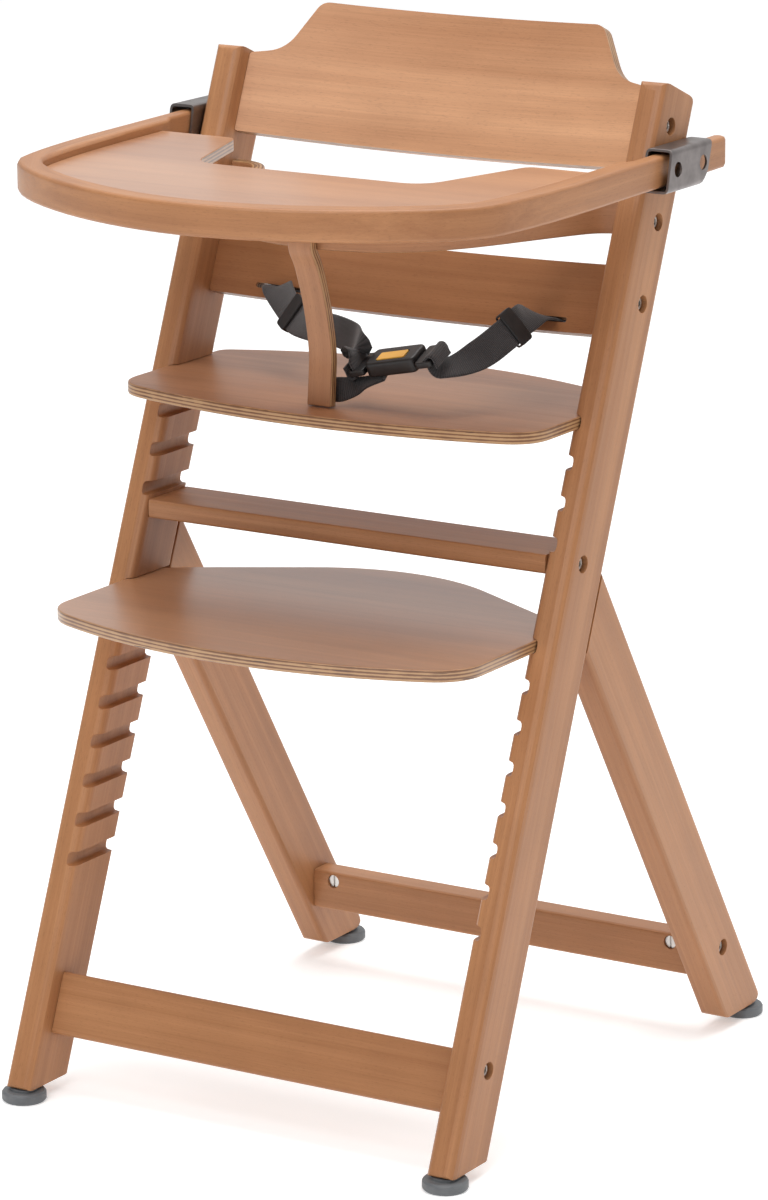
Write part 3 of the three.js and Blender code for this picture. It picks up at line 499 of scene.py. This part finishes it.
from_cad("tray_rim", "tray", "beech", "beech", round_the_rim, 0)
from_cad("tray_board", "tray", "tray_ply", "beech_ply", tray_board_grain, 0.0006)

# ---------------------------------------------------------------- bow and crotch post
BOW_HALF = [
    (0, -95), (42, -88), (72, -70), (94, -43), (109, -15),
    (121, 12), (133, 38), (145, 60), (157, 68.3), (170, 69),
]
CROTCH_CURVE = [
    (-104.5, 668), (-104.7, 650), (-104, 634), (-95, 618),
    (-84.5, 590), (-77.5, 558), (-78, 536), (-79.4, 517.6),
]


def between_stations(a, b, c, d, t):
    """One coordinate of a uniform Catmull-Rom curve, at share t of the way from b to c."""
    bend = (2 * a - 5 * b + 4 * c - d) * t * t
    return 0.5 * (2 * b + (c - a) * t + bend + (3 * b - a - 3 * c + d) * t**3)


def catmull_rom(points, steps):
    """Points on a curve whose ends are repeated, as the CAD's splines are."""
    made = []
    last = len(points) - 1
    for i in range(last):
        around = points[max(i - 1, 0)], points[i], points[i + 1], points[min(i + 2, last)]
        for k in range(steps):
            made.append(tuple(between_stations(*values, k / steps) for values in zip(*around)))
    made.append(tuple(points[-1]))
    return made


def section(width, thick, r):
    """A rounded rectangle as (across, through) points."""
    points = []
    steps = 4
    for cx, cy, start in ((1, 1, 0), (-1, 1, 90), (-1, -1, 180), (1, -1, 270)):
        x, y = cx * (width / 2 - r), cy * (thick / 2 - r)
        for k in range(steps + 1):
            turn = math.radians(start + 90 * k / steps)
            points.append((x + r * math.cos(turn), y + r * math.sin(turn)))
    return points


def sweep(places, frames, outline):
    """A closed mesh swept along places. Each frame is (across, through)."""
    mesh = bpy.data.meshes.new("swept")
    verts, grain = [], []
    run = 0
    for i, (place, (across, through)) in enumerate(zip(places, frames)):
        run += (place - places[i - 1]).length if i else 0
        for a, b in outline:
            verts.append(place + across * a + through * b)
            grain.extend((run, a, b))
    n = len(outline)
    faces = []
    for i in range(len(places) - 1):
        for k in range(n):
            j = (k + 1) % n
            faces.append((i * n + k, i * n + j, (i + 1) * n + j, (i + 1) * n + k))
    faces.append(tuple(range(n))[::-1])
    faces.append(tuple((len(places) - 1) * n + k for k in range(n)))
    mesh.from_pydata([tuple(v) for v in verts], [], faces)
    layer = mesh.attributes.new(GRAIN, "FLOAT_VECTOR", "POINT")
    layer.data.foreach_set("vector", grain)
    fixed = bmesh.new()
    fixed.from_mesh(mesh)
    bmesh.ops.recalc_face_normals(fixed, faces=fixed.faces)
    fixed.to_mesh(mesh)
    fixed.free()
    return mesh


def tangents(places):
    last = len(places) - 1
    return [(places[min(i + 1, last)] - places[max(i - 1, 0)]).normalized() for i in range(last + 1)]


def safety_bow():
    plan = [(-x, y) for x, y in BOW_HALF[:0:-1]] + BOW_HALF
    height, low = 0.0252, 0.6338
    outer = [Vector((x * MM, y * MM, low + height / 2)) for x, y in catmull_rom(plan, 12)]
    ways = tangents(outer)
    inward = [Vector((-t.y, t.x, 0)) for t in ways]
    limit = INNER_X - 0.0003
    kept = [i for i, p in enumerate(outer) if abs(p.x) < limit]
    places = [outer[i] + inward[i] * BOW_THICK / 2 for i in kept]
    frames = [(Z, inward[i]) for i in kept]
    for at, edge in ((0, -limit), (-1, limit)):
        places[at] = Vector((edge, places[at].y, places[at].z))
    mesh = sweep(places, frames, section(height, BOW_THICK, PLY_ROUND))
    looks = ("beech_ply_10", "beech_ply")
    finish_piece("safety_bow_fine", "safety_bow", mesh, "frame", *looks, edge=0, degrees=50)


def crotch_post():
    width = 0.020
    front = [Vector((0, y * MM, z * MM)) for y, z in catmull_rom(CROTCH_CURVE, 8)]
    ways = tangents(front)
    backward = [Vector((0, -t.z, t.y)) for t in ways]
    places = [p + b * CROTCH_POST_THICK / 2 for p, b in zip(front, backward)]
    outline = section(width, CROTCH_POST_THICK, PLY_ROUND)
    mesh = sweep(places, [(X, b) for b in backward], outline)
    looks = ("beech_ply_8", "beech_ply")
    finish_piece("crotch_post_fine", "crotch_post", mesh, "frame", *looks, edge=0.0008, degrees=50)


safety_bow()
crotch_post()

# ---------------------------------------------------------------- steel
for side in SIDES:
    from_cad(f"{side}_tray_bracket", "frame", "bracket_steel", "bracket_steel", edge=0.0003, degrees=50)
for name, node in nodes.items():
    if name.endswith(("_bolt", "_nut", "_screw")) or "_screw_" in name:
        from_cad(name, "frame", "bolt_steel", "bolt_steel", edge=0.0002)
    elif name.endswith("_dowel"):
        from_cad(name, "frame", "beech", "beech", straight(X, Y, Z), 0)

# ---------------------------------------------------------------- lap harness
WEB_WIDTH, CROTCH_WEB_WIDTH, WEB_THICK = 0.023, 0.018, 0.0018
BUCKLE_AT = Vector((0.050, -0.054, 0.5515))
BUCKLE_TURN = Matrix.Rotation(math.radians(-12), 3, "Y") @ Matrix.Rotation(math.radians(20), 3, "X")
BUCKLE_ACROSS = BUCKLE_TURN @ Y

# Stations of [middle, width direction] in millimetres, as in the CAD.
RIGHT_STATIONS = [
    ((113, 61.7, 566), (1, 0, 0)),
    ((113, 46.9, 572), (1, 0, 0)),
    ((112.5, 32, 577.5), (0.9, 0.12, -0.42)),
    ((113.4, 16, 576.2), (0.58, 0.15, -0.8)),
    ((112.4, 4, 572), (0.58, 0.15, -0.8)),
    ((111.4, -8, 567.8), (0.58, 0.15, -0.8)),
    ((105, -27, 558.5), (0.6, -0.1, -0.79)),
    ((94, -41, 551), (0.42, -0.7, -0.57)),
    ((83.5, -49.5, 549.5), (0.12, -0.92, -0.36)),
    ((79.9, -54, 557.4), (0.07, -0.94, -0.33)),
]
LEFT_STATIONS = [
    ((-113, 61.7, 566), (1, 0, 0)),
    ((-113, 46.9, 572), (1, 0, 0)),
    ((-105, 34, 573.5), (0.85, 0.25, 0.45)),
    ((-86, 15.5, 566.5), (0.54, 0.23, 0.8)),
    ((-76, 7.5, 563.1), (0.54, 0.23, 0.8)),
    ((-66, -0.5, 559.7), (0.54, 0.23, 0.8)),
    ((-40, -17, 560.5), (0.2, 0.22, 0.96)),
    ((-16, -29, 562), (0, 0.2, 0.98)),
    ((6, -40, 560), (-0.08, 0.35, 0.93)),
    ((16.8, -55, 557.5), (-0.1, 0.8, 0.6)),
    ((18.3, -56.5, 551.6), (-0.08, 0.93, 0.36)),
    ((20.1, -54, 545.6), (-0.07, 0.94, 0.33)),
]
CROTCH_STATIONS = [
    ((-1, -66.4, 520), (1, 0, 0)),
    ((0, -66, 526.5), (0.98, 0, -0.17)),
    ((13, -65.5, 529), (0.75, -0.15, -0.6)),
    ((26, -58, 533.5), (0.1, -0.9, -0.42)),
    ((42, -54.5, 540.3), (0.07, -0.94, -0.33)),
]
# The fold round a tongue's outer bar, in the buckle's (x, z).
TONGUE_FOLD = [(30.9, 3.2), (33, 5.0), (35.8, 4.5), (37.2, 2.0), (37.3, -1.5), (37.8, -4.5)]


def in_buckle(x, y, z):
    return BUCKLE_AT + BUCKLE_TURN @ Vector((x, y, z)) * MM


def web_section(width, thick, steps=8):
    """A flat strip with rounded edges as (across, through) points, wound once round."""
    half, r = width / 2, thick / 2
    points = []
    for side in (1, -1):
        for k in range(5):
            turn = math.radians(-90 + 45 * k)
            points.append((side * (half - r + r * math.cos(turn)), side * r * math.sin(turn)))
        for k in range(1, steps):
            points.append((side * (half - r) * (1 - 2 * k / steps), side * r))
    return points


def web_rows(stations, steps=8):
    """Places and width directions along webbing through its stations."""
    rows = [tuple(c * MM for c in at) + tuple(width) for at, width in stations]
    first = tuple(2 * a - b for a, b in zip(rows[0], rows[1]))
    last = tuple(2 * a - b for a, b in zip(rows[-1], rows[-2]))
    return catmull_rom([first, *rows, last], steps)[steps:-steps]


def web_piece(name, node, rows, width=WEB_WIDTH):
    places = [Vector(row[:3]) for row in rows]
    frames = []
    for way, row in zip(tangents(places), rows):
        across = Vector(row[3:])
        across = (across - way * across.dot(way)).normalized()
        frames.append((across, across.cross(way)))
    mesh = sweep(places, frames, web_section(width, WEB_THICK))
    mesh.name = name
    smooth(mesh, 60)
    made = new_object(name, mesh, "webbing")
    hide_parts(node)
    return made


# The strap's end behind the slat, folded too thick for its slot, in the posts' (depth, reach).
STOP_FOLD = [
    (48.9, 624.6), (49.0, 629.5), (48.9, 633), (47.8, 634.3),
    (46.7, 633), (46.2, 631), (44.6, 629.7),
]
STOP_DEPTH = 0.0438


def strap(side, stations):
    """A strap from its stop behind the slat to a fold round its tongue's bar."""
    sign = 1 if side == "right" else -1
    stop = []
    for depth, reach in STOP_FOLD:
        at = POST_FOOT / MM + BACK * depth + UP * reach
        stop.append(((stations[0][0][0], at.y, at.z), (1, 0, 0)))
    fold = []
    for x, z in TONGUE_FOLD:
        fold.append((tuple(in_buckle(sign * x, 0, sign * z) / MM), tuple(BUCKLE_ACROSS * -sign)))
    run = web_rows(stations + fold)
    ahead = [row for row in run if (Vector(row[:3]) - POST_FOOT).dot(BACK) < STOP_DEPTH]
    made = web_piece(f"{side}_strap_fine", f"{side}_strap", web_rows(stop, 5) + ahead)
    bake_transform(made)


for side, stations in (("right", RIGHT_STATIONS), ("left", LEFT_STATIONS)):
    strap(side, stations)
    from_cad(f"{side}_slider", f"{side}_slider", "black_plastic", "black_plastic", edge=0.0004)
    from_cad(f"{side}_tongue", f"{side}_tongue", "black_plastic", "black_plastic", edge=0.0004)
from_cad("buckle_body", "frame", "black_plastic", "black_plastic", edge=0.0006)
from_cad("buckle_button", "button", "button_plastic", "button_plastic", edge=0.0003)
crotch_rows = web_rows(CROTCH_STATIONS)
crotch_webbing = web_piece("crotch_webbing_fine", "crotch_webbing", crotch_rows, CROTCH_WEB_WIDTH)
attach(crotch_webbing, "frame")
